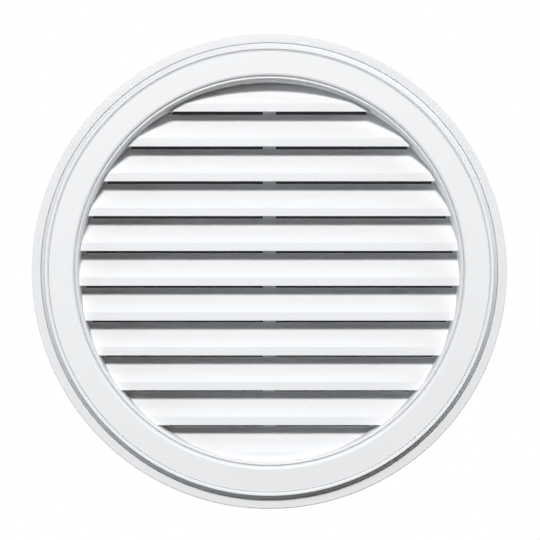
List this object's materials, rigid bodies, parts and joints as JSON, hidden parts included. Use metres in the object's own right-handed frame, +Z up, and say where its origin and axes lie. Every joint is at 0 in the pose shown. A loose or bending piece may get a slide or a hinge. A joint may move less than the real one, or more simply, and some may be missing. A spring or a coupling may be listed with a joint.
{
  "type": "round gable vent",
  "caption": "Round louvred gable vent: a moulded frame with sloping louvres and a nailing flange, a clip-on finish ring and an insect screen behind.",
  "frame": {"origin": "centre of the vent on the wall's surface, the plane of the nailing flange's rear face", "axes": "+Z up, +X to the right seen from the front, +Y into the wall; the face looks along -Y"},
  "size_m": [0.5587, 0.0455, 0.5588],
  "materials": {
    "white_body": "satin white moulded polypropylene, fine mould grain",
    "white_ring": "satin white moulded polypropylene",
    "black_mesh": "black coated glass-fibre insect mesh"
  },
  "bodies": {
    "root": {"louvre_body": "white_body", "finish_ring": "white_ring", "insect_screen": "black_mesh"}
  },
  "joints": []
}
